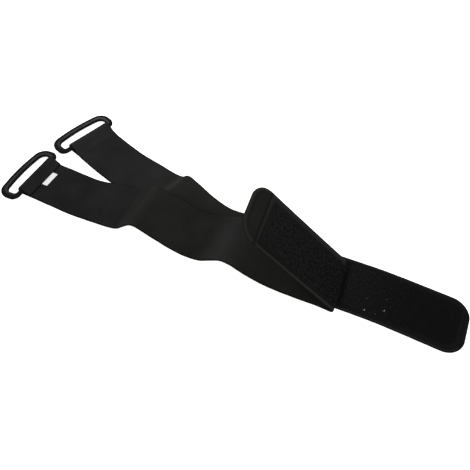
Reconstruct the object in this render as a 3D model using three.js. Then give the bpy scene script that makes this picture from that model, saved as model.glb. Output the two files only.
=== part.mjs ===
// Foot drop brace: two elastic straps that lie on each other, each with a D-ring sewn into one end
// and a hook pad sewn onto the other. Millimetres, +Z up, lying on the plane z = 0, straps along +X.
import * as THREE from "three";

// Driving dimensions
const bandWidth = 52;
const tabWidth = 57; // the sewn end under a hook pad is pressed a little wider
const tabTaper = 25; // length over which a band widens to its sewn end
const bandThick = 1.8;
const layerGap = 0.3; // air left between two layers that touch
const tipRadius = 18; // corners of a band's free end
const selvedge = 0.94; // share of the half width at full thickness
const selvedgeThick = 0.55; // share of the thickness left at the very edge
const sectionSpace = 0.4; // closest that two sections of a ribbon may lie

const padWidth = 50.4;
const padThick = 1.4;
const padReach = 121.2; // from a band's tip to the inner end of its pad
const padCorner = 4;
const topPad = { side: -1, setback: 19.4, endRadius: padCorner }; // bare cloth is left at the band's tip
const underPad = { side: 1, setback: 4.6, endRadius: 13.4 }; // runs into the rounded tip

const ringLength = 73.4;
const ringReach = 25.7; // from the bar's axis to the outside of the bow
const ringThick = 4.4;
const ringBevel = 1.1;
const barThick = 4.4;
const bowWidth = 7.2;
const bowRise = 1.6; // how far the bow swells out past its ends
const slotLength = 59.2;
const barCorner = 8;
const bowCorner = 13;
const slotBarCorner = 2.4;
const slotBowCorner = 7;

const loopRadius = 3.9; // middle of the cloth round the bar
const ringEndLength = 102; // of the under band, from its hem's cut end
const hemReach = 10.4; // from the bar's axis to the cut end of the turned-back hem
const hemStitch = 9.4; // where the two layers of the hem come together

const foldRadius = 2.4; // middle of the cloth where the top band turns back
const flapLength = 121.2;
const flapRise = 41.8; // degrees above the floor at the fold
const flapCurl = 1.5; // degrees that the flap steepens over each 100 mm
const floorLevel = bandThick / 2;
const hemLevel = floorLevel + bandThick + layerGap;
const barHeight = floorLevel + loopRadius;

const labelSize = { along: 6.4, across: 19.5, thick: 0.7 };
const labelSide = 2.2; // from the middle of the top band to the middle of the label

// Middle of the whole brace on the floor, which becomes the origin
const restCentre = { x: -11.5, y: 15.6 };

// Where each band turns round its ring's bar, its heading there in degrees, how far along the bar
// the ring has slipped, and how far the hem holds its bow off the floor
const topSeat = { x: -226.9, y: -20.1, turn: -2, slip: -2.3, lift: 0 };
const underSeat = { x: -208.9, y: 53.3, turn: -19.8, slip: -2.5, lift: 1.3 };

const table = (columns, rows) =>
  rows.map((row) => Object.fromEntries(columns.split(" ").map((name, i) => [name, row[i]])));

// Each row is a line across a band: its middle on the floor, its turn in degrees, and the
// heights of its near and far edges at the middle of the cloth.
const topRun = table("x y turn near far", [
  [-216, -20.4, -2, 0.9, 0.9],
  [-190, -21.2, -1, 0.9, 0.9],
  [-166, -21.9, 0, 1.0, 1.2],
  [-150, -21.4, 0, 1.2, 3.5],
  [-134, -21.0, 0, 2.0, 8.2],
  [-120, -20.6, 0, 3.2, 10.0],
  [-110, -20.4, 0, 6.2, 12.8],
  [-100, -20.1, 0, 15.2, 18.8],
  [-92, -19.9, 0, 22.0, 24.2],
  [-86, -19.7, 0, 22.9, 25.6],
  [-70, -19.5, 0, 15.8, 21.2],
  [-50, -19.5, 0, 8.0, 15.6],
  [-33, -19.0, 0, 3.5, 13.2],
  [-18, -18.4, 0, 5.0, 15.0],
  [-6, -17.8, 0, 12.4, 20.4],
  [5, -17.3, 0, 18.2, 24.6],
  [14, -17.2, 0, 17.6, 23.4],
  [30, -17.6, 1, 11.4, 17.4],
  [50, -17.5, 2.5, 6.4, 10.6],
  [75, -16.1, 4.5, 3.6, 5.0],
  [95, -15.2, 6, 3.7, 3.9],
  [103, -14.8, 6.3, 4.8, 4.8],
  [110.4, -14.5, 6.5, 5.3, 5.3],
]);

const underRun = table("x y turn near far", [
  [-196.7, 48.8, -19.8, 2.5, 2.5],
  [-191, 46.7, -19.7, 1.3, 1.3],
  [-185, 44.8, -19.3, 0.96, 0.96],
  [-170, 39.6, -18.0, 0.9, 0.9],
  [-145, 32.0, -14.5, 0.9, 1.2],
  [-120, 25.9, -12.5, 1.0, 2.6],
  [-104, 21.8, -12.0, 1.6, 3.4],
  [-93, 19.4, -12.0, 5.0, 4.4],
  [-86, 17.8, -12.0, 11.6, 7.2],
  [-80, 16.5, -12.0, 15.8, 12.8],
  [-75, 15.4, -12.0, 15.2, 13.6],
  [-62, 12.3, -12.5, 9.4, 9.6],
  [-46, 8.1, -12.5, 4.2, 4.6],
  [-24, 2.7, -11.0, 3.0, 3.0],
  [-8, 0.2, -9.0, 6.4, 6.0],
  [6, -1.4, -7.5, 11.4, 10.4],
  [16, -2.5, -6.5, 11.2, 9.8],
  [36, -4.4, -5.0, 5.6, 4.4],
  [60, -5.8, -3.0, 1.4, 1.2],
  [85, -6.6, -1.5, 0.9, 0.9],
  [111, -6.3, -0.5, 0.9, 0.9],
  [150, -5.1, 0, 0.9, 0.9],
  [205, -6.5, 0, 0.9, 0.9],
  [229.8, -7.3, 0, 0.9, 0.9],
]);

const material = (colour, roughness) =>
  new THREE.MeshStandardMaterial({ color: colour, roughness, metalness: 0 });
const elasticCloth = material(0x242425, 0.95);
const hookNylon = material(0x161616, 0.85);
const ringPlastic = material(0x2b2b2c, 0.42);
const labelSatin = material(0xf2f2f0, 0.7);

const radians = THREE.MathUtils.degToRad;
const vertical = new THREE.Vector3(0, 0, 1);
const heading = (turn) => new THREE.Vector3(Math.cos(radians(turn)), Math.sin(radians(turn)), 0);
const sideways = (turn) => new THREE.Vector3(-Math.sin(radians(turn)), Math.cos(radians(turn)), 0);

// A line across a band: the middle of the cloth and the direction from its near edge to its far edge.
const crossLine = (mid, across) => ({ mid, across });

// The teardrop loop round a ring's bar, from the end of the upper layer to the end of the lower one.
function loopLines(seat) {
  const arcSteps = 18;
  const stitch = new THREE.Vector2(hemStitch, hemLevel - barHeight);
  const leave = Math.atan2(stitch.y, stitch.x) + Math.acos(loopRadius / stitch.length());
  const profile = [[hemReach, hemLevel], [hemStitch, hemLevel]];
  for (let i = 0; i <= arcSteps; i++) {
    const angle = THREE.MathUtils.lerp(leave, 1.5 * Math.PI, i / arcSteps);
    profile.push([loopRadius * Math.cos(angle), barHeight + loopRadius * Math.sin(angle)]);
  }
  profile.push([hemReach, floorLevel]);
  const axis = new THREE.Vector3(seat.x, seat.y, 0);
  return profile.map(([along, height]) =>
    crossLine(
      axis.clone().addScaledVector(heading(seat.turn), along).addScaledVector(vertical, height),
      sideways(seat.turn),
    ),
  );
}

// The long run of a band, on smooth curves along its two edges that never dip under the floor.
function runLines(rows) {
  const stepsPerRow = 8;
  const edge = (side) =>
    new THREE.CatmullRomCurve3(
      rows.map(({ x, y, turn, near, far }) => {
        const tilt = Math.asin((far - near) / bandWidth);
        const half = (side * bandWidth * Math.cos(tilt)) / 2;
        const point = new THREE.Vector3(x, y, side > 0 ? far : near);
        return point.addScaledVector(sideways(turn), half);
      }),
      false,
      "centripetal",
    );
  const floorBelow = new THREE.Vector3(-Infinity, -Infinity, floorLevel);
  const nearEdge = edge(-1);
  const farEdge = edge(1);
  const count = (rows.length - 1) * stepsPerRow;
  return Array.from({ length: count + 1 }, (_, i) => {
    const near = nearEdge.getPoint(i / count).max(floorBelow);
    const far = farEdge.getPoint(i / count).max(floorBelow);
    return crossLine(near.clone().lerp(far, 0.5), far.sub(near).normalize());
  });
}

// The turn of the top band and the flap that stands up behind it.
function flapLines(row) {
  const turnSteps = 12;
  const flapSteps = 60;
  const across = sideways(row.turn);
  const along = heading(row.turn);
  const start = new THREE.Vector3(row.x, row.y, (row.near + row.far) / 2);
  const lines = [];
  const turned = radians(180 - flapRise);
  for (let i = 1; i <= turnSteps; i++) {
    const angle = (turned * i) / turnSteps;
    const mid = start
      .clone()
      .addScaledVector(along, foldRadius * Math.sin(angle))
      .addScaledVector(vertical, foldRadius * (1 - Math.cos(angle)));
    lines.push(crossLine(mid, across));
  }
  const step = flapLength / flapSteps;
  const mid = lines.at(-1).mid.clone();
  for (let i = 1; i <= flapSteps; i++) {
    const rise = radians(flapRise + (flapCurl * step * (i - 0.5)) / 100);
    mid.addScaledVector(along, -step * Math.cos(rise)).addScaledVector(vertical, step * Math.sin(rise));
    lines.push(crossLine(mid.clone(), across));
  }
  return lines;
}

// A band's course: its lines with their distance along the band and the normal of the cloth.
function courseOf(lines) {
  let distance = 0;
  const stops = lines.map(({ mid, across }, i) => {
    const before = lines[Math.max(i - 1, 0)].mid;
    const after = lines[Math.min(i + 1, lines.length - 1)].mid;
    distance += i ? mid.distanceTo(before) : 0;
    const normal = after.clone().sub(before).cross(across).normalize();
    return { mid, across, normal, distance };
  });
  return { stops, length: distance };
}

function lineAt({ stops }, distance) {
  const next = Math.max(1, stops.findIndex((stop) => stop.distance >= distance - 1e-9));
  const [a, b] = [stops[next - 1], stops[next]];
  const share = THREE.MathUtils.clamp((distance - a.distance) / (b.distance - a.distance), 0, 1);
  const blend = (key) => a[key].clone().lerp(b[key], share);
  return { mid: blend("mid"), across: blend("across").normalize(), normal: blend("normal").normalize() };
}

// Distances at which a course needs a section: closer together where the cloth bends.
function bendMarks(course, from, to) {
  const longestStep = 10;
  const largestBend = radians(8);
  const marks = [from];
  let last = lineAt(course, from).normal;
  for (const { distance, normal } of course.stops) {
    const room = Math.min(distance - marks.at(-1), to - distance);
    const bent = normal.angleTo(last) > largestBend || distance - marks.at(-1) > longestStep;
    if (room > sectionSpace && bent) {
      marks.push(distance);
      last = normal;
    }
  }
  return [...marks, to];
}

// Half width at a distance from an end whose corners are rounded.
function roundedHalf(width, radius, distance) {
  const inside = Math.max(radius - distance, 0);
  return width / 2 - radius + Math.sqrt(radius * radius - inside * inside);
}

// A closed ribbon along part of a course, at a height above the middle of the cloth.
function ribbon(course, { from, to, width, thick, lift, startRadius, endRadius }) {
  const cornerShares = [0.05, 0.2, 0.45, 0.75, 1];
  const corners = cornerShares.flatMap((share) => [from + share * startRadius, to - share * endRadius]);
  const near = (mark) => corners.some((corner) => Math.abs(corner - mark) < sectionSpace);
  const bends = bendMarks(course, from, to).filter((mark) => mark === from || mark === to || !near(mark));
  const marks = [...new Set([...bends, ...corners])].sort((a, b) => a - b);

  const columns = [-1, -selvedge, -0.5, 0, 0.5, selvedge, 1];
  const points = [];
  for (const mark of marks) {
    const { mid, across, normal } = lineAt(course, mark);
    const startHalf = roundedHalf(width(mark), startRadius, mark - from);
    const half = Math.min(startHalf, roundedHalf(width(mark), endRadius, to - mark));
    const place = (column, side) => {
      const share = Math.abs(column) === 1 ? selvedgeThick : 1;
      const height = lift + (side * share * thick) / 2;
      return mid.clone().addScaledVector(across, column * half).addScaledVector(normal, height);
    };
    points.push(...columns.map((column) => place(column, 1)));
    points.push(...columns.toReversed().map((column) => place(column, -1)));
  }

  const around = columns.length * 2;
  const last = (marks.length - 1) * around;
  const index = [];
  for (let row = 0; row < last; row += around) {
    for (let i = 0; i < around; i++) {
      const j = (i + 1) % around;
      index.push(row + i, row + around + i, row + j);
      index.push(row + j, row + around + i, row + around + j);
    }
  }
  for (let i = 0; i < columns.length - 1; i++) {
    const [a, b] = [i, i + 1];
    const [c, d] = [around - 2 - i, around - 1 - i];
    index.push(a, b, c, a, c, d);
    index.push(last + b, last + a, last + c, last + c, last + a, last + d);
  }
  const geometry = new THREE.BufferGeometry().setFromPoints(points);
  geometry.setIndex(index);
  geometry.computeVertexNormals();
  return geometry;
}

const padStart = (course) => course.length - padReach;

function bandWidthAt(course, distance) {
  const share = THREE.MathUtils.smoothstep(distance, padStart(course) - tabTaper, padStart(course));
  return THREE.MathUtils.lerp(bandWidth, tabWidth, share);
}

const bandMesh = (course, { from, to, endRadius }) =>
  new THREE.Mesh(
    ribbon(course, {
      from,
      to,
      width: (distance) => bandWidthAt(course, distance),
      thick: bandThick,
      lift: 0,
      startRadius: 0,
      endRadius,
    }),
    elasticCloth,
  );

// A hook pad near the tip of a band, on the side that its normal points to (1) or away from (-1).
const padMesh = (course, { side, setback, endRadius }) =>
  new THREE.Mesh(
    ribbon(course, {
      from: padStart(course),
      to: course.length - setback,
      width: () => padWidth,
      thick: padThick,
      lift: side * (bandThick / 2 + layerGap + padThick / 2),
      startRadius: padCorner,
      endRadius,
    }),
    hookNylon,
  );

// D-ring outline with the bar's axis on local Y and the bow towards -X.
function ringOutline(path, barSide, bowSide, halfLength, barRadius, bowRadius, rise) {
  const quarter = Math.PI / 2;
  const bowEnd = halfLength - bowRadius;
  path.moveTo(barSide, barRadius - halfLength);
  path.lineTo(barSide, halfLength - barRadius);
  path.absarc(barSide - barRadius, halfLength - barRadius, barRadius, 0, quarter, false);
  path.absarc(bowSide + rise + bowRadius, bowEnd, bowRadius, quarter, 2 * quarter, false);
  path.quadraticCurveTo(bowSide - rise, 0, bowSide + rise, -bowEnd);
  path.absarc(bowSide + rise + bowRadius, -bowEnd, bowRadius, 2 * quarter, 3 * quarter, false);
  path.absarc(barSide - barRadius, barRadius - halfLength, barRadius, 3 * quarter, 4 * quarter, false);
  return path;
}

function ringMesh() {
  const inset = ringBevel;
  const outside = ringOutline(
    new THREE.Shape(),
    barThick / 2 - inset,
    inset - ringReach,
    ringLength / 2 - inset,
    barCorner - inset,
    bowCorner - inset,
    bowRise,
  );
  const slot = ringOutline(
    new THREE.Path(),
    -barThick / 2 + inset,
    bowWidth - inset - ringReach,
    slotLength / 2 + inset,
    slotBarCorner + inset,
    slotBowCorner + inset,
    bowRise,
  );
  outside.holes.push(slot);
  const geometry = new THREE.ExtrudeGeometry(outside, {
    depth: ringThick - 2 * ringBevel,
    curveSegments: 7,
    bevelSize: ringBevel,
    bevelThickness: ringBevel,
    bevelSegments: 2,
  });
  geometry.translate(0, 0, ringBevel - ringThick / 2);
  return new THREE.Mesh(geometry, ringPlastic);
}

// A ring on its bar, tipped until its bow lies on the floor or is held just above it.
function seatedRing(name, seat) {
  const ring = ringMesh();
  ring.name = name;
  ring.position.y = seat.slip;
  const drop = barHeight - ringThick / 2 - seat.lift;
  ring.rotation.y = -Math.asin(drop / (ringReach - ringBevel));
  const bearing = new THREE.Group();
  bearing.position.set(seat.x, seat.y, barHeight);
  bearing.rotation.z = radians(seat.turn);
  bearing.add(ring);
  return bearing;
}

const topCourse = courseOf([
  ...loopLines(topSeat),
  ...runLines(topRun).slice(1),
  ...flapLines(topRun.at(-1)),
]);
const underCourse = courseOf([...loopLines(underSeat).toReversed(), ...runLines(underRun)]);

const named = (name, mesh) => Object.assign(mesh, { name });
const topBand = named("top_band", bandMesh(topCourse, { from: 0, to: topCourse.length, endRadius: tipRadius }));

// The under band is in two lengths: round the ring and over the flat run behind it, and on to the tip.
const underRingEnd = named(
  "under_ring_end",
  bandMesh(underCourse, { from: 0, to: ringEndLength, endRadius: 0 }),
);
const underBand = named(
  "under_band",
  bandMesh(underCourse, { from: ringEndLength + layerGap, to: underCourse.length, endRadius: tipRadius }),
);
const topHookPad = named("top_hook_pad", padMesh(topCourse, topPad));
const underHookPad = named("under_hook_pad", padMesh(underCourse, underPad));

// The label lies on the top band with its edge against the hem's cut end.
const label = named(
  "label",
  new THREE.Mesh(new THREE.BoxGeometry(labelSize.along, labelSize.across, labelSize.thick), labelSatin),
);
label.position.set(
  hemReach + layerGap + labelSize.along / 2,
  labelSide,
  bandThick + layerGap + labelSize.thick / 2,
);
const labelSeat = new THREE.Group();
labelSeat.position.set(topSeat.x, topSeat.y, 0);
labelSeat.rotation.z = radians(topSeat.turn);
labelSeat.add(label);

const brace = new THREE.Group();
brace.position.set(-restCentre.x, -restCentre.y, 0);
brace.add(seatedRing("top_ring", topSeat), seatedRing("under_ring", underSeat));
brace.add(topBand, underRingEnd, underBand, topHookPad, underHookPad, labelSeat);

export default brace;
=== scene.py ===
import math
import bpy
import numpy as np
from mathutils import Matrix, Vector, noise


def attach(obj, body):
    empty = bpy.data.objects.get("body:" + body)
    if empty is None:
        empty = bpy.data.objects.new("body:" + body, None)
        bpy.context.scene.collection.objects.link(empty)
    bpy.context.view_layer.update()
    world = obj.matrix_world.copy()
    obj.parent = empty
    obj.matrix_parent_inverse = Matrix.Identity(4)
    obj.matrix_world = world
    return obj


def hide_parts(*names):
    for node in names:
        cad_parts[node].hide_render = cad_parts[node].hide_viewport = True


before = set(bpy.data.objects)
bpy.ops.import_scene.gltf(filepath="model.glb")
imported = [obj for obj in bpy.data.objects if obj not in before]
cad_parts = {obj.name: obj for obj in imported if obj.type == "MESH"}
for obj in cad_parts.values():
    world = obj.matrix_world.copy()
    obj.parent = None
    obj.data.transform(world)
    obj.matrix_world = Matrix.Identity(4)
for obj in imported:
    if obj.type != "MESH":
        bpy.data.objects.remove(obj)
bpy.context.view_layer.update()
mm = 0.001  # sizes below are in millimetres, meshes are in metres
dice = np.random.default_rng(11)


# Shader tools
class Wire:  # a node's socket that works in Python sums
    def __init__(self, finish, socket):
        self.finish = finish
        self.socket = socket

    def sum(self, operation, *values):
        return self.finish.node("ShaderNodeMath", {"operation": operation}, dict(enumerate(values)))

    def __add__(self, other):
        return self.sum("ADD", self, other)

    def __radd__(self, other):
        return self.sum("ADD", other, self)

    def __sub__(self, other):
        return self.sum("SUBTRACT", self, other)

    def __rsub__(self, other):
        return self.sum("SUBTRACT", other, self)

    def __mul__(self, other):
        return self.sum("MULTIPLY", self, other)

    def __rmul__(self, other):
        return self.sum("MULTIPLY", other, self)

    def wave(self, pitch):  # 1 at each multiple of the pitch, 0 half way between
        return 0.5 + 0.5 * self.sum("COSINE", self * (2 * math.pi / pitch))

    def step(self, low, high):  # 0 up to low, 1 from high on
        limits = {"Value": self, "From Min": low, "From Max": high}
        return self.finish.node("ShaderNodeMapRange", {"interpolation_type": "SMOOTHSTEP"}, limits)

    def stripe(self, rise, fall):  # 1 between two steps, 0 outside them
        return self.step(*rise) * (1 - self.step(*fall))

    def blend(self, first, second, kind="MIX"):  # first colour where this is 0, second where it is 1
        settings = {"data_type": "RGBA", "blend_type": kind}
        return self.finish.node("ShaderNodeMix", settings, {0: self, 6: first, 7: second}, 2)


class Finish:  # one material, and the one way to add a node to it
    def __init__(self, name, fixed):
        self.material = bpy.data.materials.new(name)
        self.material.use_nodes = True
        self.tree = self.material.node_tree
        self.shader = self.tree.nodes["Principled BSDF"]
        for socket, value in fixed.items():
            self.shader.inputs[socket].default_value = value

    def node(self, kind, settings, inputs, output=0):
        made = self.tree.nodes.new(kind)
        for name, value in settings.items():
            setattr(made, name, value)
        for name, value in inputs.items():
            if isinstance(value, Wire):
                self.tree.links.new(value.socket, made.inputs[name])
            else:
                made.inputs[name].default_value = value
        return Wire(self, made.outputs[output])

    def marks(self, name):  # the three numbers that a mesh holds at each point
        vector = self.node("ShaderNodeAttribute", {"attribute_name": name}, {}, "Vector")
        return [self.node("ShaderNodeSeparateXYZ", {}, {"Vector": vector}, axis) for axis in "XYZ"]

    def place(self):
        return self.node("ShaderNodeTexCoord", {}, {}, "Object")

    def grain(self, scale, detail):
        inputs = {"Vector": self.place(), "Scale": scale, "Detail": detail}
        return self.node("ShaderNodeTexNoise", {}, inputs)

    def feed(self, inputs):
        for socket, wire in inputs.items():
            self.tree.links.new(wire.socket, self.shader.inputs[socket])

    def relief(self, height, depth, strength):
        inputs = {"Height": height, "Distance": depth * mm, "Strength": strength}
        self.feed({"Normal": self.node("ShaderNodeBump", {}, inputs)})


def grey(level, warmth=0.0):
    return (level * (1 + warmth), level, level * (1 - warmth), 1)


# Finishes. Two numbers in brackets are a step, none up to the first and all from the second on,
# apart from a relief, which is its depth in millimetres and its strength
elasticLook = {
    "valley": grey(0.0082),
    "pile": grey(0.0255),
    "cut": grey(0.0035),  # painted shade: a thin dark line along the edge itself
    "edgeHighlight": grey(0.022),  # painted highlight on the edge beside a sewn pad and on the rim of the flap's bare tip
    # painted shade in the grooves at the pad's end and along the tip's seam
    "groove": grey(0.005),
    "warm": (1, 1, 0.87, 1),  # tint of the middle and of the folded end
    "walePitch": 1.15,
    "rowPitch": 0.9,
    "ridgePitch": 0.75,  # along the woven edges
    "pileScale": 1500,
    "patchScale": 34,
    "relief": (0.22, 0.55),
    "tipDark": 0.25,  # how much darker the end past the pad is
    "rimLight": 0.7,
    "padShadowStrength": 0.7,
    "tipShadowStrength": 0.6,
    "edgeShadeDark": 0.9,
    "contrast": (0.3, 0.8),
    "padSide": (-0.2, 0.2),  # the face that the pad is sewn to
    "flapSide": (0.6, 0.9),  # the same face, on the flap alone
    # from the edge inwards
    "wovenEdge": (0.9, 1.6),
    "edgeShadeEdge": (0.3, 0.75),
    "edgeHighlightReach": (1.3, 2.2),
    "rimEdge": (1.8, 3.6),
    "tipSeamShadow": ((3.8, 4.4), (5.0, 5.6)),
    # from the end of the pad towards the tip
    "bare": (-1, 1),
    "edgeHighlightEnd": (-4, 2),
    "padEndShadow": ((-0.6, 0.2), (2.2, 3.4)),
    "tipSeamShadowFrom": (3, 5),
    "sewnFrom": (-122, -119),  # from the tip to where the pad's seams begin
    "warmRun": ((-0.11, -0.06), (0.1, 0.13)),  # metres along the brace
    "warmLost": (0.05, 0.35),  # painted light that takes the tint away
}


def elasticCloth():
    look = elasticLook
    fixed = {"Specular IOR Level": 0.05, "Sheen Weight": 0.05, "Sheen Roughness": 0.4}
    finish = Finish("elasticCloth", fixed)
    along, across, edge = finish.marks("cloth")
    padFace, padEnd, paintedLight = finish.marks("face")

    # knit with a brushed pile, and a tight border along both edges
    wales = across.wave(look["walePitch"])
    rows = (along + 0.4 * wales).wave(look["rowPitch"])
    pile = finish.grain(look["pileScale"], 4)
    patches = finish.grain(look["patchScale"], 2)
    woven = 1 - edge.step(*look["wovenEdge"])
    ridges = along.wave(look["ridgePitch"])
    height = (0.5 * wales * rows + 0.9 * pile) * (1 - woven) + ridges * woven
    tone = (0.55 * pile + 0.2 * wales * rows + 0.35 * patches).step(*look["contrast"])

    # what sewing leaves on the cloth round a pad, with a painted highlight on the edges beside it and
    # painted shade in its grooves
    onPad = padFace.step(*look["padSide"])
    onFlap = padFace.step(*look["flapSide"])
    bare = padEnd.step(*look["bare"]) * onPad
    flapTip = bare * onFlap
    sewn = onPad * along.step(*look["sewnFrom"]) * (1 - padEnd.step(*look["edgeHighlightEnd"]))
    # painted highlight on the edge beside the pad and on the rim of the flap's bare tip
    edgeHighlight = sewn * padFace * (1 - edge.step(*look["edgeHighlightReach"]))
    tipRim = look["rimLight"] * flapTip * (1 - edge.step(*look["rimEdge"]))
    # painted shade in the groove at the pad's end and along the seam round the tip
    padEndShadow = onPad * padEnd.stripe(*look["padEndShadow"])
    tipSeamShadow = bare * padEnd.step(*look["tipSeamShadowFrom"]) * edge.stripe(*look["tipSeamShadow"])
    grooveShadows = look["padShadowStrength"] * padEndShadow + look["tipShadowStrength"] * tipSeamShadow
    # painted shade in a thin dark line along the cut and woven edges
    edgeShadeLine = 1 - (edge * (0.5 + 0.5 * onFlap)).step(*look["edgeShadeEdge"])  # half as wide on the flap
    cut = look["edgeShadeDark"] * edgeShadeLine * (1 - 0.8 * flapTip)

    # the knit's tone with the painted highlight and painted shade along the band
    shade = (tone + paintedLight - look["tipDark"] * bare).blend(look["valley"], look["pile"])
    shade = (edgeHighlight + tipRim).blend(shade, look["edgeHighlight"])
    shade = grooveShadows.blend(shade, look["groove"])
    shade = cut.blend(shade, look["cut"])
    run = finish.node("ShaderNodeSeparateXYZ", {}, {"Vector": finish.place()}, "X")
    warm = run.stripe(*look["warmRun"]) * (1 - paintedLight.step(*look["warmLost"]))
    finish.feed({
        "Base Color": warm.blend(shade, look["warm"], "MULTIPLY"),
        "Roughness": 0.82 + 0.16 * pile,
    })
    finish.relief(height, *look["relief"])
    return finish.material


tapeLook = {
    "warp": grey(0.0108),
    "weft": grey(0.0046),
    "border": grey(0.021),
    "sealedEndHighlight": grey(0.024),  # the sealed cut end, with a painted highlight on it
    "pitchAlong": 0.55,
    "pitchAcross": 0.715,
    "sealedEndHighlightFrom": (-1.7, -1.1),
    "borderEdge": (2.6, 3.6),  # clear of hooks
    "borderLight": 0.52,
    "borderHighlightLean": 0.019,  # painted highlight: lighter for each millimetre towards the far side
    "relief": (0.15, 0.6),
}


def hookTape():
    look = tapeLook
    finish = Finish("hookTape", {"Roughness": 0.78, "Specular IOR Level": 0.04})
    along, across, edge = finish.marks("cloth")
    pale = finish.marks("face")[2]
    weave = along.wave(look["pitchAlong"]) * across.wave(look["pitchAcross"])
    # the sealed cut end with its painted highlight
    sealedEndHighlight = along.step(*look["sealedEndHighlightFrom"]) * (0.6 + 0.4 * weave)
    # the border clear of hooks: its own lighter weave, with a painted highlight growing towards the far
    # side
    border = pale * (look["borderLight"] + look["borderHighlightLean"] * across)
    border = border * (1 - edge.step(*look["borderEdge"])) * (0.7 + 0.3 * weave)
    shade = border.blend(weave.blend(look["weft"], look["warp"]), look["border"])
    finish.feed({"Base Color": sealedEndHighlight.blend(shade, look["sealedEndHighlight"])})
    finish.relief(weave, *look["relief"])
    return finish.material


hookLook = {"dark": grey(0.001), "light": grey(0.048), "contrast": (0.25, 0.75)}


def hookNylon():
    look = hookLook
    finish = Finish("hookNylon", {"Specular IOR Level": 0.06})
    tone = finish.marks("strand")[1]
    finish.feed({
        "Base Color": tone.step(*look["contrast"]).blend(look["dark"], look["light"]),
        "Roughness": 0.42 + 0.25 * tone,
    })
    return finish.material


threadLook = {"dark": grey(0.004), "light": grey(0.014), "twist": 0.55, "relief": (0.05, 1.0)}


def sewingThread():
    look = threadLook
    finish = Finish("sewingThread", {"Roughness": 0.55, "Specular IOR Level": 0.12})
    length, chance, around = finish.marks("strand")
    ply = (length + look["twist"] * around).wave(look["twist"])
    finish.feed({"Base Color": (0.7 * ply + 0.3 * chance).blend(look["dark"], look["light"])})
    finish.relief(ply, *look["relief"])
    return finish.material


ringLook = {
    "body": grey(0.0085),
    "paintedHighlight": grey(0.062, 0.01),
    "grainScale": 2600,
    "cloudScale": 120,
    "clouded": (0.3, 0.6),
    "crown": ((-0.93, -0.75), (-0.3, 0.05)),  # the painted highlight along the crown, from the slot outwards
    "crownRise": (0.55, 0.85),
    "parting": (0.02, 0.1),  # the line left by the mould
    "relief": (0.02, 0.5),
}


def ringPlastic():
    look = ringLook
    finish = Finish("ringPlastic", {"Specular IOR Level": 0.0, "IOR": 1.5})
    out, up, shine = finish.marks("ring")  # out is 1 at the outer side and -1 at the slot
    fine = finish.grain(look["grainScale"], 2)
    clouds = finish.grain(look["cloudScale"], 4)
    crown = out.stripe(*look["crown"]) * up.step(*look["crownRise"])
    # painted highlight along the crown, in place of a gloss
    crownHighlight = shine * crown * (0.6 + 0.4 * clouds.step(*look["clouded"]))
    parting = 1 - up.sum("ABSOLUTE", up).step(*look["parting"])
    finish.feed({
        "Base Color": (0.1 * clouds + crownHighlight).blend(look["body"], look["paintedHighlight"]),
        "Roughness": 0.5 + 0.16 * clouds - 0.12 * crownHighlight,
    })
    finish.relief(fine + 0.8 * parting, *look["relief"])
    return finish.material


labelLook = {
    "ground": grey(0.93, 0.002),
    "thread": grey(0.98),
    "soil": grey(0.88, 0.01),
    "pitch": 0.34,
    "soilScale": 240,
    "soiled": (0.55, 0.75),
    "soilShare": 0.25,
    "relief": (0.05, 0.7),
}


def labelSatin():
    look = labelLook
    finish = Finish("labelSatin", {"Roughness": 0.5, "Sheen Weight": 0.2, "Sheen Roughness": 0.3})
    along, across = finish.marks("cloth")[:2]
    floats = across.wave(look["pitch"])
    ties = (along + 1.5 * across).wave(look["pitch"] * 3)
    weave = (0.7 * floats + 0.3 * ties).blend(look["ground"], look["thread"])
    soiled = finish.grain(look["soilScale"], 3).step(*look["soiled"]) * look["soilShare"]
    finish.feed({"Base Color": soiled.blend(weave, look["soil"])})
    finish.relief(floats + 0.5 * ties, *look["relief"])
    return finish.material


lintLook = {"dim": grey(0.03), "bright": grey(0.9)}


def lintFibre():
    finish = Finish("lintFibre", {"Roughness": 0.8, "Sheen Weight": 0.3})
    tone = finish.marks("strand")[1]
    finish.feed({"Base Color": tone.blend(lintLook["dim"], lintLook["bright"])})
    return finish.material


paperLook = {"low": grey(0.9), "high": grey(0.92), "scale": 9, "glow": 0.9}


def studioPaper():
    look = paperLook
    glow = {"Emission Color": grey(1), "Emission Strength": look["glow"]}
    finish = Finish("studioPaper", {"Roughness": 0.9, "Specular IOR Level": 0.1, **glow})
    finish.feed({"Base Color": finish.grain(look["scale"], 2).blend(look["low"], look["high"])})
    return finish.material


cloth = elasticCloth()
tape = hookTape()
nylon = hookNylon()
thread = sewingThread()
plastic = ringPlastic()
satin = labelSatin()
print("finishes ready")


# Mesh tools
def addPiece(name, points, faces, material, body, marks):
    mesh = bpy.data.meshes.new(name)
    mesh.from_pydata((points * mm).tolist(), [], faces)
    for markName, values in marks.items():
        held = mesh.attributes.new(markName, "FLOAT_VECTOR", "POINT")
        held.data.foreach_set("vector", np.ascontiguousarray(values, np.float32).ravel())
    mesh.polygons.foreach_set("use_smooth", [True] * len(mesh.polygons))
    mesh.materials.append(material)
    piece = bpy.data.objects.new(name, mesh)
    bpy.context.collection.objects.link(piece)
    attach(piece, body)
    return piece


def unit(vectors):
    return vectors / np.linalg.norm(vectors, axis=-1, keepdims=True)


def skinFaces(rings, around, closed):  # quads over a grid of rings, each ring closed on itself
    i = np.arange(rings if closed else rings - 1)[:, None] * around
    j = np.arange(around)[None, :]
    ahead = (i + around) % (rings * around)
    k = (j + 1) % around
    return np.stack([i + j, ahead + j, ahead + k, i + k], axis=-1).reshape(-1, 4).tolist()


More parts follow.
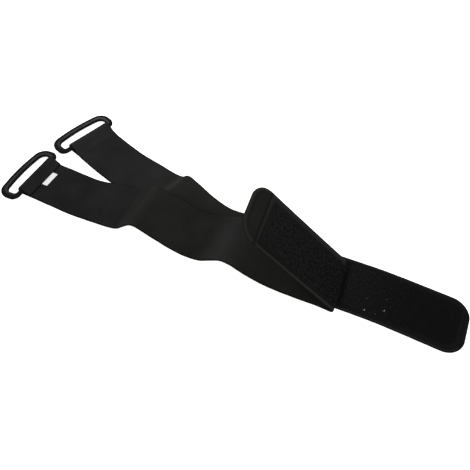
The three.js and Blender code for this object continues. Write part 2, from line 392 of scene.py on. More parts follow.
# many round threads in one piece, each shaded as given or by chance
def addStrands(name, paths, up, radius, sides, material, shades=None):
    count, steps = paths.shape[:2]
    tangent = unit(np.gradient(paths, axis=1))
    side = unit(np.cross(tangent, up))
    rise = np.cross(side, tangent)
    angle = np.arange(sides) * 2 * math.pi / sides
    ring = np.cos(angle)[:, None] * side[:, :, None] + np.sin(angle)[:, None] * rise[:, :, None]
    points = paths[:, :, None] + radius[..., None, None] * ring
    quads = np.array(skinFaces(steps, sides, False))
    first = np.arange(count)[:, None, None] * steps * sides
    faces = (first + quads[None]).reshape(-1, 4).tolist()
    caps = np.stack([np.arange(sides), np.arange(sides)[::-1] + (steps - 1) * sides])
    faces += (first + caps[None]).reshape(-1, sides).tolist()
    run = np.cumsum(np.linalg.norm(np.diff(paths, axis=1, prepend=paths[:, :1]), axis=2), axis=1)
    if shades is None:
        shades = dice.random(count)
    marks = np.empty((count, steps, sides, 3))
    marks[..., 0] = run[..., None]
    marks[..., 1] = shades[:, None, None]
    marks[..., 2] = np.arange(sides) / sides
    return addPiece(name, points.reshape(-1, 3), faces, material, "straps", {"strand": marks})


# How the bands run
band = {
    "width": 52,
    "tabWidth": 57,  # the sewn end is pressed a little wider
    "tabTaper": 25,
    "thick": 1.8,
    "tipRadius": 18,
    "rim": 0.55,  # rounding of the cut and woven edges
    "rimLow": 0.03,
    "cutRows": 0.6,  # close rows at the cut end under the hem
    "selvedge": (0.4, 1.8),  # from the edge inwards, where the cloth grows to its full thickness
    "selvedgeThick": 0.62,
    "waver": 0.12,  # unevenness of the woven edges
    "waverLength": 7,
    "waverEnd": 30,  # the sewn end is even
    "ripple": 0.16,
    "rippleLength": 21,
    "rippleWidth": 26,
    "rippleFrom": (30, 50),
    "rippleTo": (-40, -20),  # before the pad
    "loopRadius": 3.9,
    "hemReach": 10.4,
    "hemStitch": 9.4,
    "hemGap": 0.06,
    "foldRadius": 2.4,
    "flapLength": 121.2,
    "flapRise": 41.8,
    "flapCurl": 1.5,  # degrees more in 100 mm
}
floorLevel = band["thick"] / 2
barHeight = floorLevel + band["loopRadius"]
restCentre = np.array([-11.5, 15.6, 0])
# where each ring's bar lies, how far the ring has slipped along it, and the strength of its painted
# highlight at its near and far end
topSeat = {"x": -226.9, "y": -20.1, "turn": -2, "slip": -2.3, "lift": 0, "shine": (0.5, 0.6)}
underSeat = {"x": -208.9, "y": 53.3, "turn": -19.8, "slip": -2.5, "lift": 1.3, "shine": (0.45, 1.15)}

# x, y, turn in degrees, and the heights of the near and far edges
topRun = [
    (-216, -20.4, -2, 0.9, 0.9),
    (-190, -21.2, -1, 0.9, 0.9),
    (-166, -21.9, 0, 1.0, 1.2),
    (-150, -21.4, 0, 1.2, 3.5),
    (-134, -21.0, 0, 2.0, 8.2),
    (-120, -20.6, 0, 3.2, 10.0),
    (-110, -20.4, 0, 6.2, 12.8),
    (-100, -20.1, 0, 15.2, 18.8),
    (-92, -19.9, 0, 22.0, 24.2),
    (-86, -19.7, 0, 22.9, 25.6),
    (-70, -19.5, 0, 15.8, 21.2),
    (-50, -19.5, 0, 8.0, 15.6),
    (-33, -19.0, 0, 3.5, 13.2),
    (-18, -18.4, 0, 5.0, 15.0),
    (-6, -17.8, 0, 12.4, 20.4),
    (5, -17.3, 0, 18.2, 24.6),
    (14, -17.2, 0, 17.6, 23.4),
    (30, -17.6, 1, 11.4, 17.4),
    (50, -17.5, 2.5, 6.4, 10.6),
    (75, -16.1, 4.5, 3.6, 5.0),
    (95, -15.2, 6, 3.7, 3.9),
    (103, -14.8, 6.3, 4.8, 4.8),
    (110.4, -14.5, 6.5, 5.3, 5.3),
]
underRun = [
    (-196.7, 48.8, -19.8, 2.5, 2.5),
    (-191, 46.7, -19.7, 1.3, 1.3),
    (-185, 44.8, -19.3, 0.96, 0.96),
    (-170, 39.6, -18.0, 0.9, 0.9),
    (-145, 32.0, -14.5, 0.9, 1.2),
    (-120, 25.9, -12.5, 1.0, 2.6),
    (-104, 21.8, -12.0, 1.6, 3.4),
    (-93, 19.4, -12.0, 5.0, 4.4),
    (-86, 17.8, -12.0, 11.6, 7.2),
    (-80, 16.5, -12.0, 15.8, 12.8),
    (-75, 15.4, -12.0, 15.2, 13.6),
    (-62, 12.3, -12.5, 9.4, 9.6),
    (-46, 8.1, -12.5, 4.2, 4.6),
    (-24, 2.7, -11.0, 3.0, 3.0),
    (-8, 0.2, -9.0, 6.4, 6.0),
    (6, -1.4, -7.5, 11.4, 10.4),
    (16, -2.5, -6.5, 11.2, 9.8),
    (36, -4.4, -5.0, 5.6, 4.4),
    (60, -5.8, -3.0, 1.4, 1.2),
    (85, -6.6, -1.5, 0.9, 0.9),
    (111, -6.3, -0.5, 0.9, 0.9),
    (150, -5.1, 0, 0.9, 0.9),
    (205, -6.5, 0, 0.9, 0.9),
    (229.8, -7.3, 0, 0.9, 0.9),
]
curveSteps = {"loop": 60, "run": 10, "fold": 24, "flap": 90, "seamCorner": 12}
rowSteps = {"widest": 1.3, "closest": 0.4, "turn": 0.13}  # rows of a mesh, with the most turn between two


def heading(turn):
    return np.array([math.cos(math.radians(turn)), math.sin(math.radians(turn)), 0])


def sideways(turn):
    return np.array([-math.sin(math.radians(turn)), math.cos(math.radians(turn)), 0])


class Course:  # the middle of a strip of cloth: points along it and the direction across it
    def __init__(self, mids, across):
        self.mids = np.array(mids) - restCentre
        self.across = np.array(across)
        self.normal = unit(np.cross(np.gradient(self.mids, axis=0), self.across))
        steps = np.linalg.norm(np.diff(self.mids, axis=0), axis=1)
        self.distance = np.concatenate([[0], np.cumsum(steps)])
        self.length = self.distance[-1]

    def read(self, values, distance):
        return np.stack([np.interp(distance, self.distance, values[:, k]) for k in range(3)], axis=-1)

    def at(self, distance):
        across = unit(self.read(self.across, distance))
        return self.read(self.mids, distance), across, unit(self.read(self.normal, distance))

    def place(self, distance, offset, height):
        mid, across, normal = self.at(distance)
        return mid + across * offset[..., None] + normal * height[..., None]

    def marks(self, start, end):  # closer together where the cloth bends
        widest, closest = rowSteps["widest"], rowSteps["closest"]
        turn = np.linalg.norm(np.diff(self.normal, axis=0), axis=1) / np.diff(self.distance)
        room = np.clip(rowSteps["turn"] / np.maximum(turn, 1e-4), closest, widest)
        middles = (self.distance[1:] + self.distance[:-1]) / 2
        found = [start]
        while found[-1] < end - closest:
            ahead = np.interp([found[-1], found[-1] + closest, found[-1] + widest], middles, room)
            found.append(min(found[-1] + ahead.min(), end))
        return np.array(found)


def loopLines(seat):  # round the ring's bar, from the end of the upper layer to the end of the lower one
    radius, stitch = band["loopRadius"], band["hemStitch"]
    hemLevel = floorLevel + band["thick"] + band["hemGap"]
    drop = hemLevel - barHeight
    leave = math.atan2(drop, stitch) + math.acos(radius / math.hypot(drop, stitch))
    profile = [(band["hemReach"], hemLevel), (stitch, hemLevel)]
    for angle in np.linspace(leave, 1.5 * math.pi, curveSteps["loop"]):
        profile.append((radius * math.cos(angle), barHeight + radius * math.sin(angle)))
    profile.append((band["hemReach"], floorLevel))
    start = np.array([seat["x"], seat["y"], 0])
    return [start + along * heading(seat["turn"]) + np.array([0, 0, level]) for along, level in profile]


def smoothThrough(points, steps):  # a centripetal curve through the points
    ends = [2 * points[0] - points[1], *points, 2 * points[-1] - points[-2]]
    curve = []
    for a, b, c, d in zip(ends, ends[1:], ends[2:], ends[3:]):
        ab, bc, cd = (math.sqrt(np.linalg.norm(q - p)) for p, q in ((a, b), (b, c), (c, d)))
        out = ((b - a) / ab - (c - a) / (ab + bc) + (c - b) / bc) * bc
        into = ((c - b) / bc - (d - b) / (bc + cd) + (d - c) / cd) * bc
        for t in np.linspace(0, 1, steps, endpoint=False):
            curve.append(
                b * (2 * t**3 - 3 * t**2 + 1) + out * (t**3 - 2 * t**2 + t)
                + c * (3 * t**2 - 2 * t**3) + into * (t**3 - t**2)
            )
    return np.array([*curve, points[-1]])


def runLines(rows):
    edges = []
    for side in (-1, 1):
        points = []
        for x, y, turn, near, far in rows:
            half = math.sqrt(band["width"] ** 2 - (far - near) ** 2) / 2
            points.append(np.array([x, y, far if side > 0 else near]) + side * half * sideways(turn))
        curve = smoothThrough(points, curveSteps["run"])
        curve[:, 2] = np.maximum(curve[:, 2], floorLevel)
        edges.append(curve)
    near, far = edges
    return list((near + far) / 2), list(unit(far - near))


def flapLines(row):  # the turn of the top band and the flap that stands up behind it
    x, y, turn, near, far = row
    start = np.array([x, y, (near + far) / 2])
    along = heading(turn)
    up = np.array([0, 0, 1])
    lines = []
    for angle in np.linspace(0, math.radians(180 - band["flapRise"]), curveSteps["fold"])[1:]:
        lines.append(start + band["foldRadius"] * (along * math.sin(angle) + up * (1 - math.cos(angle))))
    step = band["flapLength"] / curveSteps["flap"]
    for i in range(curveSteps["flap"]):
        rise = math.radians(band["flapRise"] + band["flapCurl"] * step * (i + 0.5) / 100)
        lines.append(lines[-1] + step * (up * math.sin(rise) - along * math.cos(rise)))
    return lines


def topCourse():
    loop = loopLines(topSeat)
    mids, across = runLines(topRun)
    flap = flapLines(topRun[-1])
    sides = [sideways(topSeat["turn"])] * len(loop) + across[1:] + [sideways(topRun[-1][2])] * len(flap)
    return Course(loop + mids[1:] + flap, sides)


def underCourse():
    loop = loopLines(underSeat)[::-1]
    mids, across = runLines(underRun)
    return Course(loop + mids, [sideways(underSeat["turn"])] * len(loop) + across)


top = topCourse()
under = underCourse()
print(f"bands run {top.length:.0f} and {under.length:.0f} mm")


# Cloth strips
columns = {
    "half": 25,  # the half width that the places below are given for
    "near": np.array([0, 0.05, 0.15, 0.32, 0.6, 1.0, 1.5, 2.2]),  # from an edge inwards
    "clear": 3.0,
    "middle": 37,
}
endShares = np.array([0, 0.01, 0.03, 0.07, 0.13, 0.2, 0.3, 0.42, 0.56, 0.7, 0.85, 1])
endRows = np.array([0.1, 0.25, 0.45])
square = 0.01  # radius of a corner that isn't rounded


def ease(value, low, high):
    t = np.clip((value - low) / (high - low), 0, 1)
    return t * t * (3 - 2 * t)


def bell(gap, width):
    return np.exp(-((gap / width) ** 2))


def roundedEdge(distance, radius):  # share of the thickness left at a distance from an edge
    inside = np.clip(1 - distance / radius, 0, 1)
    return np.sqrt(1 - inside**2)


def cornered(width, radius, distance):  # half width at a distance from an end with round corners
    inside = np.maximum(radius - distance, 0)
    return width / 2 - radius + np.sqrt(np.maximum(radius**2 - inside**2, 0))


def edgeDistance(distance, offset, start, end, width, startRadius, endRadius):
    gap = np.minimum(width / 2 - np.abs(offset), np.minimum(distance - start, end - distance))
    for reach, radius in ((distance - start, startRadius), (end - distance, endRadius)):
        inX = radius - reach
        inY = np.abs(offset) - (width / 2 - radius)
        corner = (inX > 0) & (inY > 0)
        gap = np.where(corner, radius - np.hypot(inX, inY), gap)
    return np.maximum(gap, 0)


def rowMarks(course, start, end, startRadius, endRadius):  # close together where a rounded end narrows
    marks = np.concatenate([
        course.marks(start, end),
        end - endShares * endRadius,
        end - endRows,
        start + endShares * startRadius,
        start + endRows,
    ])
    marks = np.unique(np.round(marks, 3))
    return marks[(marks >= start - 1e-6) & (marks <= end + 1e-6)]


# facing says which face carries the pad, how far the strip's zero is from the pad's end, and the painted
# light and shade along the strip
def addStrip(name, course, marks, halves, low, high, material, edge, origin=0, facing=None):
    near = columns["near"] / columns["half"]
    middle = np.linspace(-1, 1, columns["middle"] + 2)[1:-1] * (1 - columns["clear"] / columns["half"])
    shares = np.concatenate([near - 1, middle, (1 - near)[::-1]])
    offsets = shares[None, :] * halves[:, None]
    distance = np.broadcast_to(marks[:, None], offsets.shape)
    upper = course.place(distance, offsets, high(distance, offsets))
    lower = course.place(distance, offsets, low(distance, offsets))
    rings = np.concatenate([upper, lower[:, -2:0:-1]], axis=1)
    around = rings.shape[1]
    count = len(shares)
    faces = skinFaces(len(marks), around, False)
    last = (len(marks) - 1) * around
    below = [i if i in (0, count - 1) else around - i for i in range(count)]
    for i in range(count - 1):  # both ends are closed
        quad = list(dict.fromkeys([i, i + 1, below[i + 1], below[i]]))
        faces.append(quad)
        faces.append([last + corner for corner in quad[::-1]])
    plan = np.stack([distance - origin, offsets, edge(distance, offsets)], axis=-1)
    plan = np.concatenate([plan, plan[:, -2:0:-1]], axis=1).reshape(-1, 3)
    held = {"cloth": plan}
    if facing:
        sides = np.concatenate([np.ones(count), -np.ones(around - count)])
        sides = sides * facing["side"] * facing["edgeHighlight"]
        face = np.broadcast_to(sides, rings.shape[:2]).reshape(-1)
        # painted highlight and painted shade, read along the strip
        paintedLight = np.interp(plan[:, 0] + origin, *zip(*facing["paintedLight"]))
        held["face"] = np.stack([face, plan[:, 0] + facing["setback"], paintedLight], axis=1)
    return addPiece(name, rings.reshape(-1, 3), faces, material, "straps", held)


pad = {
    "width": 50.4,
    "reach": 121.2,  # from a band's tip to the inner end of its pad
    "corner": 4,
    "tape": 0.62,  # thickness of the woven tape under the hooks
    "top": 2.55,  # height of the hooks above the middle of the band
    "border": 3.3,  # clear of hooks
    "hidden": 9,  # the inner end shows no border for this far
    "rim": 0.35,
    "rimLow": 0.12,
    "sunk": 0.1,
}
topPad = {
    "side": -1,
    "setback": 19.4,
    "endRadius": 4,
    "lead": 3.2,  # leads on round the fold
    "barOff": 0,
    "sunk": 0.02,  # depth of the seam in the other face of the band
    "tone": 0.6,  # shade of the hooks
    "edgeHighlight": 1,  # how strong the painted highlight on the band's edge beside the pad is
    "pale": 1,  # how light the border clear of hooks is, its own weave with a painted highlight
    "paintedFalloff": -0.45,  # painted shade: how much darker the pad grows towards its end
    "mottle": 0.95,  # how uneven the shade of the hooks is
    "shaded": 0,  # how dark the painted shadow of the fold makes the hooks at its foot
    # millimetres along the band, and how much lighter or darker it is painted there, as painted highlight
    # and painted shade
    "paintedLight": [
        (0, 0.4), (1.2, 0), (20, 0), (45, -0.14), (95, -0.2), (120, -0.1), (138, -0.14), (150, -0.18),
        (156, -0.34), (160.5, -0.34), (163.5, 0.14), (168, 0.14), (174, 0),
        (240, 0), (264, 0.4), (290, 0),
    ],
}
underPad = {
    "side": 1,
    "setback": 4.6,
    "endRadius": 13.4,
    "lead": 0,
    "barOff": 9,  # no sealed bar, and no painted highlight, at its end
    "sunk": 0.35,
    "tone": 0.33,
    "edgeHighlight": 0.55,
    "pale": 0,
    "paintedFalloff": 1.2,
    "mottle": 0.6,
    "shaded": 1.6,
    # painted highlight and painted shade along the band, as on the top band
    "paintedLight": [
        (14, 0.3), (18, 0.35), (32, 0.35), (42, 0), (92, 0), (128, 0.22), (152, 0.24), (163, 0.06),
        (178, 0.12), (240, 0.12), (258, 0.24), (285, 0.24), (300, 0),
        (325, 0), (340, -0.35), (440, -0.35), (452, -0.6),
    ],
}
sewing = {
    "pitch": 2.7,
    "wire": 0.17,
    "sides": 6,
    "crown": 0.16,
    "sway": 0.03,
    "tapeInset": 1.35,
    "tipInset": 4.7,
    "hemInset": 1.3,
    "hemSide": 1.2,
    "padFrom": 1,  # where a seam begins, past the pad's inner end
    "tipFrom": 1.6,  # and past its outer end
    "clothWidth": 0.75,  # how wide and deep the cloth is drawn in
    "clothDepth": 0.3,
    "clothSunk": 0.26,
    "tapeWidth": 0.6,
    "tapeDepth": 0.18,
    "tapeSunk": 0.14,
    # one stitch: share of its length, height and thickness
    "stitch": np.array([
        (0.03, -0.3, 0.7),
        (0.1, -0.02, 0.9),
        (0.25, 0.7, 1),
        (0.5, 1.0, 1),
        (0.75, 0.7, 1),
        (0.9, -0.02, 0.9),
        (0.97, -0.3, 0.7),
    ]),
}


def padStart(course):
    return course.length - pad["reach"]


def bandWidth(course, distance):
    share = ease(distance, padStart(course) - band["tabTaper"], padStart(course))
    return band["width"] + share * (band["tabWidth"] - band["width"])


def unevenness(distance, seed):  # slow ripples of soft cloth, the mean of those at both edges
    along = distance / band["rippleLength"]
    across = columns["half"] / band["rippleWidth"]
    return (noise.noise(Vector((along, -across, seed))) + noise.noise(Vector((along, across, seed)))) / 2


def addBand(name, course, nodes, hemSide, padUsed, seed):
    end = course.length
    marks = rowMarks(course, 0, end, band["cutRows"], band["tipRadius"])
    halves = cornered(bandWidth(course, marks), band["tipRadius"], end - marks)
    waver = [noise.noise(Vector((d / band["waverLength"], seed, 0.5))) for d in marks]
    halves = halves + np.where(marks > end - band["waverEnd"], 0, band["waver"] * np.array(waver))

    def edge(distance, offset):
        width = bandWidth(course, distance)
        return edgeDistance(distance, offset, 0, end, width, square, band["tipRadius"])

    def thickness(distance, offset):
        half = np.broadcast_to(halves[:, None], distance.shape)
        rim = (half - np.abs(offset)) * columns["half"] / half
        share = band["selvedgeThick"] + (1 - band["selvedgeThick"]) * ease(rim, *band["selvedge"])
        share = share * roundedEdge(rim, band["rim"])
        ends = roundedEdge(np.minimum(distance, end - distance) + band["rimLow"], band["rim"])
        return band["thick"] / 2 * share * ends

    def sewn(distance, offset, side):  # the cloth is drawn in along its seams
        pull = np.zeros_like(distance)
        if side == padUsed["side"]:
            ring = bell(edge(distance, offset) - sewing["tipInset"], sewing["clothWidth"])
            pull = np.where(distance > end - padUsed["setback"] + 1, ring, 0)
        if side == hemSide:
            pull = np.maximum(pull, bell(distance - sewing["hemInset"], sewing["clothWidth"]))
        return sewing["clothDepth"] * pull

    free = np.array([unevenness(d, seed) for d in marks])
    calm = ease(marks, *band["rippleFrom"]) * (1 - ease(marks - padStart(course), *band["rippleTo"]))
    sway = band["ripple"] * (free * calm)[:, None]

    def high(distance, offset):
        return thickness(distance, offset) + sway - sewn(distance, offset, 1)

    def low(distance, offset):
        return -thickness(distance, offset) + sway + sewn(distance, offset, -1)

    piece = addStrip(name, course, marks, halves, low, high, cloth, edge, end, padUsed)
    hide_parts(*nodes)
    return piece


topBand = addBand("topBand", top, ["top_band"], 1, topPad, 2.0)
underBand = addBand("underBand", under, ["under_ring_end", "under_band"], -1, underPad, 9.0)
print("bands made")


# Hook pads: woven tape with rows of small hooks
hook = {
    "pitchAcross": 1.45,
    "pitchAlong": 1.3,
    "first": 0.6,
    "missing": 0.02,  # share of hooks torn off
    "scatter": 0.1,
    "sunk": 0.08,
    "shortest": 0.86,
    "lean": 0.5,
    "wire": 0.13,
    "sides": 4,
    "clump": 2.2,
    "clumpSeed": 3,
    # sideways in millimetres, up as a share of its height, and thickness
    "bow": np.array([
        (0, 0, 1.25),
        (0.02, 0.5, 1.0),
        (0.14, 0.86, 0.95),
        (0.4, 1.0, 0.9),
        (0.62, 0.84, 0.8),
        (0.64, 0.6, 0.6),
    ]),
}
# where the fold of the top band stands on the flat pad, and the width of its painted shadow
fold = {"reach": 7, "slant": -0.11, "shadow": 2.2}


def padSpan(course, padUsed):
    return padStart(course) - padUsed["lead"], course.length - padUsed["setback"]


def addTape(name, course, node, padUsed):
    start, end = padSpan(course, padUsed)
    side, radius = padUsed["side"], padUsed["endRadius"]
    marks = rowMarks(course, start, end, pad["corner"], radius)
    startHalves = cornered(pad["width"], pad["corner"], marks - start)
    halves = np.minimum(startHalves, cornered(pad["width"], radius, end - marks))

    def edge(distance, offset):
        return edgeDistance(distance, offset, start, end, pad["width"], pad["corner"], radius)

    def sides(distance, offset):  # without the hidden end
        return edgeDistance(distance, offset, start - pad["hidden"], end, pad["width"], square, radius)

    def face(distance, offset):  # pressed down along the seam
        gap = edge(distance, offset)
        seam = sewing["tapeDepth"] * bell(gap - sewing["tapeInset"], sewing["tapeWidth"])
        return band["thick"] / 2 + pad["tape"] * roundedEdge(gap + pad["rimLow"], pad["rim"]) - seam

    def back(distance, offset):
        return np.full_like(distance, band["thick"] / 2 - pad["sunk"])

    low = back if side > 0 else (lambda d, o: -face(d, o))
    high = face if side > 0 else (lambda d, o: -back(d, o))
    origin = end + padUsed["barOff"]
    # for a tape the third mark holds how light its border is, its own weave with a painted highlight
    facing = {"side": side, "edgeHighlight": 1, "setback": 0, "paintedLight": [(0, padUsed["pale"])]}
    piece = addStrip(name, course, marks, halves, low, high, tape, sides, origin, facing)
    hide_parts(node)
    return piece


def addHooks(name, course, padUsed):
    start, end = padSpan(course, padUsed)
    side = padUsed["side"]
    reach = pad["width"] / 2 - pad["border"]
    spots = []
    for row, d in enumerate(np.arange(start + hook["first"], end - pad["border"], hook["pitchAlong"])):
        shift = 0.5 * hook["pitchAcross"] * (row % 2)
        for o in np.arange(-reach + shift, reach, hook["pitchAcross"]):
            spots.append((d, o, 1 if row % 2 else -1))
    spots = np.array(spots)
    inner, radius = start - pad["hidden"], padUsed["endRadius"]
    gaps = edgeDistance(spots[:, 0], spots[:, 1], inner, end, pad["width"], square, radius)
    spots = spots[(gaps > pad["border"]) & (dice.random(len(spots)) > hook["missing"])]
    count = len(spots)
    spots[:, :2] += dice.normal(0, hook["scatter"], (count, 2))

    # each hook leans a little off the row and turns over to one side
    mid, across, normal = course.at(spots[:, 0])
    up = normal * side
    foot = mid + across * spots[:, 1:2] + up * (band["thick"] / 2 + pad["tape"] - hook["sunk"])
    tall = (pad["top"] - band["thick"] / 2 - pad["tape"]) * dice.uniform(hook["shortest"], 1.0, count)
    along = unit(np.cross(across, up))
    lean = dice.normal(0, hook["lean"], count)
    way = spots[:, 2:3] * (across * np.cos(lean)[:, None] + along * np.sin(lean)[:, None])
    over, rise, wire = (column[None, :, None] for column in hook["bow"].T)
    paths = foot[:, None] + way[:, None] * over + up[:, None] * (rise * tall[:, None, None])
    thick = np.broadcast_to(hook["wire"] * wire[..., 0], paths.shape[:2])
    crosswise = np.broadcast_to(np.cross(way, up)[:, None], paths.shape)

    # darker and lighter clumps, the painted shadow along the foot of the fold, and painted shade and
    # light along the pad
    places = spots[:, :2] / hook["clump"]
    clumps = np.array([noise.noise(Vector((d, o, side * hook["clumpSeed"]))) for d, o in places])
    beside = spots[:, 0] - start - fold["reach"] - fold["slant"] * spots[:, 1]
    shades = padUsed["tone"] + padUsed["mottle"] * clumps
    shades -= padUsed["shaded"] * bell(beside, fold["shadow"])
    shades += padUsed["paintedFalloff"] * (0.5 - (spots[:, 0] - start) / (end - start))
    return addStrands(name, paths, crosswise, thick, hook["sides"], nylon, shades)


topTape = addTape("topHookTape", top, "top_hook_pad", topPad)
underTape = addTape("underHookTape", under, "under_hook_pad", underPad)
topHooks = addHooks("topHooks", top, topPad)
underHooks = addHooks("underHooks", under, underPad)
print("hook pads made")


# Seams
def roundedPath(start, end, half, radius):  # down one side, round the end and back along the other
    turns = np.linspace(0, math.pi / 2, curveSteps["seamCorner"])
    along = end - radius * (1 - np.sin(turns))
    offset = half - radius * (1 - np.cos(turns))
    points = [*zip(along, offset), *zip(along[::-1], -offset[::-1])]
    return np.array([(start, half), *points, (start, -half)])


def addSeam(name, course, path, side, height):
    steps = np.linalg.norm(np.diff(path, axis=0), axis=1)
    run = np.concatenate([[0], np.cumsum(steps)])
    count = max(1, round(run[-1] / sewing["pitch"]))
    shares, rise, wire = sewing["stitch"].T
    places = (np.arange(count)[:, None] + shares[None]) * run[-1] / count
    distance = np.interp(places, run, path[:, 0])
    offset = np.interp(places, run, path[:, 1]) + dice.normal(0, sewing["sway"], (count, 1))
    level = side * (height + sewing["crown"] * rise[None] + np.zeros_like(distance))
    paths = course.place(distance, offset, level)
    normal = course.at(distance)[2]
    thick = np.broadcast_to(sewing["wire"] * wire, distance.shape)
    addStrands(name, paths, normal * side, thick, sewing["sides"], thread)


def addPadSeam(name, course, padUsed):
    start, end = padSpan(course, padUsed)
    half = band["thick"] / 2
    inset = sewing["tapeInset"]
    edge = pad["width"] / 2 - inset
    line = roundedPath(start + sewing["padFrom"], end - inset, edge, padUsed["endRadius"] - inset)
    addSeam(name, course, line, padUsed["side"], half + pad["tape"] - sewing["tapeSunk"])
    # it comes through on the other face of the band
    addSeam(name + "Back", course, line, -padUsed["side"], half - padUsed["sunk"])


def addTipSeam(name, course, padUsed):
    start = padSpan(course, padUsed)[1] + sewing["tipFrom"]
    inset = sewing["tipInset"]
    edge = band["tabWidth"] / 2 - inset
    line = roundedPath(start, course.length - inset, edge, band["tipRadius"] - inset)
    addSeam(name, course, line, padUsed["side"], band["thick"] / 2 - sewing["clothSunk"])


def addHemSeam(name, course):
    cut = sewing["hemInset"]
    edge = band["width"] / 2 - sewing["hemSide"]
    line = np.array([(cut, -edge), (cut, edge)])
    addSeam(name, course, line, 1, band["thick"] / 2 - sewing["clothSunk"])


addPadSeam("topPadSeam", top, topPad)
addPadSeam("underPadSeam", under, underPad)
addTipSeam("topTipSeam", top, topPad)
addHemSeam("topHemSeam", top)
print("seams sewn")


# D-rings
ring = {
    "length": 73.4,
    "reach": 25.7,
    "thick": 4.4,
    "bar": 4.4,
    "bow": 7.2,
    "rise": 1.6,  # how far the bow curves out
    "slot": 59.2,
    "bevel": 1.1,
    "outer": (8, 13),  # corner radii at the bar and at the bow
    "inner": (2.4, 7),
    "squareness": 3.6,
    "facets": 48,
    # along both faces, in shares of the section: depth, place, width, and where a face begins
    "groove": {"depth": 0.14, "place": -0.5, "width": 0.2, "face": 0.8},
    "steps": {"bar": 30, "corner": 14, "end": 6, "bow": 44},
}


def ringOutline(barSide, bowSide, half, radii):
    barRadius, bowRadius = radii
    barEnd = half - barRadius
    bowEnd = half - bowRadius
    barX = barSide - barRadius
    bowX = bowSide + ring["rise"]
    cornerX = bowX + bowRadius
    steps = ring["steps"]

    def line(a, b, count):
        return np.linspace(a, b, count, endpoint=False)

    def arc(x, y, radius, start):
        angle = np.radians(line(start, start + 90, steps["corner"]))
        return np.stack([x + radius * np.cos(angle), y + radius * np.sin(angle)], axis=1)

    t = line(0, 1, steps["bow"])[:, None]
    pull = (bowSide - ring["rise"], 0)
    bow = (1 - t) ** 2 * (bowX, bowEnd) + 2 * t * (1 - t) * pull + t**2 * (bowX, -bowEnd)
    return np.concatenate([
        line((barSide, -barEnd), (barSide, barEnd), steps["bar"]),
        arc(barX, barEnd, barRadius, 0),
        line((barX, half), (cornerX, half), steps["end"]),
        arc(cornerX, bowEnd, bowRadius, 90),
        bow,
        arc(cornerX, -bowEnd, bowRadius, 180),
        line((cornerX, -half), (barX, -half), steps["end"]),
        arc(barX, -barEnd, barRadius, 270),
    ])


def addRing(name, node, seat):
    outer = ringOutline(ring["bar"] / 2, -ring["reach"], ring["length"] / 2, ring["outer"])
    inner = ringOutline(-ring["bar"] / 2, ring["bow"] - ring["reach"], ring["slot"] / 2, ring["inner"])
    angle = np.arange(ring["facets"]) * 2 * math.pi / ring["facets"]
    power = 2 / ring["squareness"]
    out, up = (np.sign(way) * np.abs(way) ** power for way in (np.cos(angle), np.sin(angle)))
    groove = ring["groove"]
    cut = groove["depth"] * bell(out - groove["place"], groove["width"]) * np.sign(up)
    up = up - np.where(np.abs(up) > groove["face"], cut, 0)
    centre = (outer + inner) / 2
    spread = (outer - inner) / 2
    plan = centre[:, None] + spread[:, None] * out[None, :, None]
    height = np.broadcast_to(up[None] * ring["thick"] / 2, plan.shape[:2])
    points = np.concatenate([plan, height[..., None]], axis=2)

    # laid down on its bow, slipped along the bar and turned with the band
    drop = barHeight - ring["thick"] / 2 - seat["lift"]
    tilt = -math.asin(drop / (ring["reach"] - ring["bevel"]))
    turned = Matrix.Rotation(math.radians(seat["turn"]), 3, "Z")
    tipped = Matrix.Rotation(tilt, 3, "Y")
    at = Vector((seat["x"], seat["y"], barHeight)) - Vector(restCentre)
    points = (points + (0, seat["slip"], 0)).reshape(-1, 3) @ np.array(turned @ tipped).T + np.array(at)

    shine = np.interp(plan[..., 1], (-ring["length"] / 2, ring["length"] / 2), seat["shine"])
    marks = np.stack(np.broadcast_arrays(out[None], up[None], shine), axis=-1).reshape(-1, 3)
    faces = skinFaces(len(outer), ring["facets"], True)
    piece = addPiece(name, points, faces, plastic, node, {"ring": marks})
    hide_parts(node)


addRing("topRing", "top_ring", topSeat)
addRing("underRing", "under_ring", underSeat)
print("rings made")


# Blank label, folded double and caught under the hem
label = {
    "along": 6.4,
    "across": 18.2,
    "side": 2.85,  # off the middle of the band
    "thick": 0.2,
    "caught": 3.0,
    "past": 0.3,  # where it comes out, past the hem's end
    "air": 0.14,
    "lift": 0.28,
    "turn": 0.3,  # where it turns back, before its tip
    "turnRadius": 0.16,
    "nip": 0.1,  # how far the hem presses the upper layer down
    "nipReach": 1.5,
    "steps": {"layer": 16, "turn": 10},
}


def addLabel():
    first = band["hemReach"] + label["past"]
    tip = first + label["along"]
    bend = tip - label["turn"]
    radius = label["turnRadius"]
    lower = []
    for along in np.linspace(first - label["caught"], bend, label["steps"]["layer"]):
        rise = label["lift"] * ease(along, first + 1, tip)
        lower.append((along, band["thick"] + label["air"] + rise))
    profile = list(lower)
    axis = lower[-1][1] + radius
    for angle in np.linspace(-math.pi / 2, math.pi / 2, label["steps"]["turn"])[1:-1]:
        profile.append((bend + radius * math.cos(angle), axis + radius * math.sin(angle)))
    for along, level in lower[::-1]:
        nip = label["nip"] * ease(first + 1 - along, 0, label["nipReach"])
        profile.append((along, level + 2 * radius - nip))
    across = sideways(topSeat["turn"])
    seat = np.array([topSeat["x"], topSeat["y"], 0]) + label["side"] * across
    mids = [seat + along * heading(topSeat["turn"]) + np.array([0, 0, level]) for along, level in profile]
    course = Course(mids, [across] * len(mids))
    marks = course.distance
    halves = np.full(len(marks), label["across"] / 2)

    def edge(distance, offset):
        return label["across"] / 2 - np.abs(offset)

    def high(distance, offset):
        return np.full_like(distance, label["thick"] / 2)

    def low(distance, offset):
        return -high(distance, offset)

    piece = addStrip("blankLabel", course, marks, halves, low, high, satin, edge)
    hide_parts("label")


addLabel()
print("label sewn in")


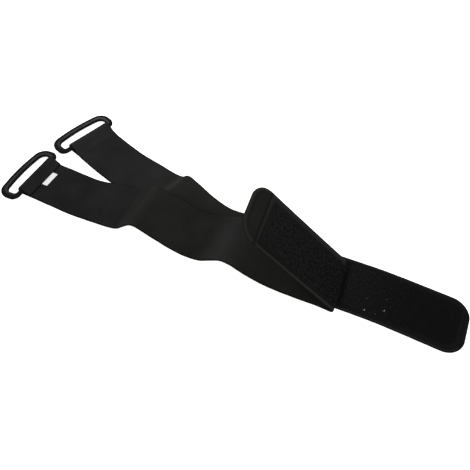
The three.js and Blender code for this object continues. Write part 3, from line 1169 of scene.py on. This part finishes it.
# Lint caught on the flat pad
lint = {
    # x, y, size and brightness
    "spots": [
        (141.2, -26.5, 0.48, 0.8),
        (157.8, -19.8, 0.44, 0.75),
        (139.8, -14.2, 0.45, 0.05),
        (156.8, -7.9, 0.45, 0.05),
        (151.5, -26.4, 0.4, 0.04),
    ],
    "fibres": 7,
    "wire": 0.09,
    "sides": 5,
    "steps": 8,
    "length": 1.5,  # length and arch of a fibre, as shares of its tuft's size
    "arch": 0.25,
    "bend": 0.9,
    "scatter": 0.2,
    "above": 0.05,
    "heap": 0.12,
}


def addLint():
    level = floorLevel + pad["top"] + lint["above"]
    t = np.linspace(-0.5, 0.5, lint["steps"])
    paths = []
    shades = []
    for x, y, size, brightness in lint["spots"]:
        step = size * lint["length"] / lint["steps"]
        for strand in range(lint["fibres"]):
            turn = dice.uniform(0, 2 * math.pi)
            angle = turn + dice.normal(0, lint["bend"]) * t * 2
            xs = x + np.cumsum(np.cos(angle)) * step + dice.normal(0, lint["scatter"])
            ys = y + np.cumsum(np.sin(angle)) * step + dice.normal(0, lint["scatter"])
            zs = level + lint["arch"] * size * (1 - (2 * t) ** 2) + dice.uniform(0, lint["heap"])
            paths.append(np.stack([xs, ys, zs], axis=1))
            shades.append(brightness)
    paths = np.array(paths) - restCentre
    up = np.broadcast_to(np.array([0.0, 0.0, 1.0]), paths.shape)
    thick = np.full(paths.shape[:2], lint["wire"])
    fibre = lintFibre()
    addStrands("lintSpecks", paths, up, thick, lint["sides"], fibre, np.array(shades))


addLint()

padPieces = ((topTape, topHooks, top, topPad), (underTape, underHooks, under, underPad))
for piece, hooks, course, padUsed in padPieces:
    start, end = padSpan(course, padUsed)
    length = end - start
    length * mm


# Stage, light and camera, in metres
view = {"place": (0.1335, -0.2766, 0.411), "pitch": 35.16, "heading": 25.0, "lens": 38.3, "sensor": 36}
studio = {"floorHalf": 6.0, "floorLevel": -0.0002, "sky": 0.72}
lamps = {
    "keyLight": {"place": (-0.25, 0.45, 0.65), "aim": (-0.05, 0, 0), "size": 0.5, "power": 1.7},
    "fillLight": {"place": (0.75, -0.35, 0.6), "aim": (-0.1, 0, 0), "size": 0.7, "power": 0.9},
    "topLight": {"place": (-0.1, 0, 1.2), "aim": (-0.1, 0, 0), "size": 0.8, "power": 0.8},
}


def addStage():
    half, level = studio["floorHalf"], studio["floorLevel"]
    corners = [(-half, -half, level), (half, -half, level), (half, half, level), (-half, half, level)]
    mesh = bpy.data.meshes.new("studioFloor")
    mesh.from_pydata(corners, [], [(0, 1, 2, 3)])
    mesh.materials.append(studioPaper())
    floor = bpy.data.objects.new("studioFloor", mesh)
    floor.visible_diffuse = False  # a cut-out ground: white to the eye, no light thrown back up
    floor.visible_glossy = False
    bpy.context.collection.objects.link(floor)


def addLight(name, place, aim, size, power):
    lamp = bpy.data.lights.new(name, "AREA")
    lamp.shape = "DISK"
    lamp.size = size
    lamp.energy = power
    holder = bpy.data.objects.new(name, lamp)
    holder.location = place
    holder.rotation_euler = (Vector(aim) - Vector(place)).to_track_quat("-Z", "Y").to_euler()
    bpy.context.collection.objects.link(holder)


def addSky():
    world = bpy.data.worlds.new("studioSky")
    world.use_nodes = True
    background = world.node_tree.nodes["Background"]
    background.inputs["Color"].default_value = grey(1)
    background.inputs["Strength"].default_value = studio["sky"]
    bpy.context.scene.world = world


def addCamera():
    lens = bpy.data.cameras.new("photoCamera")
    lens.sensor_width = view["sensor"]
    lens.lens = view["lens"]
    lens.clip_start = 0.01
    camera = bpy.data.objects.new("photoCamera", lens)
    camera.location = view["place"]
    camera.rotation_euler = (math.radians(view["pitch"]), 0, math.radians(view["heading"]))
    bpy.context.collection.objects.link(camera)
    bpy.context.scene.camera = camera


addStage()
for name, lamp in lamps.items():
    addLight(name, **lamp)
addSky()
addCamera()
bpy.context.scene.view_settings.view_transform = "Standard"
print("stage set")
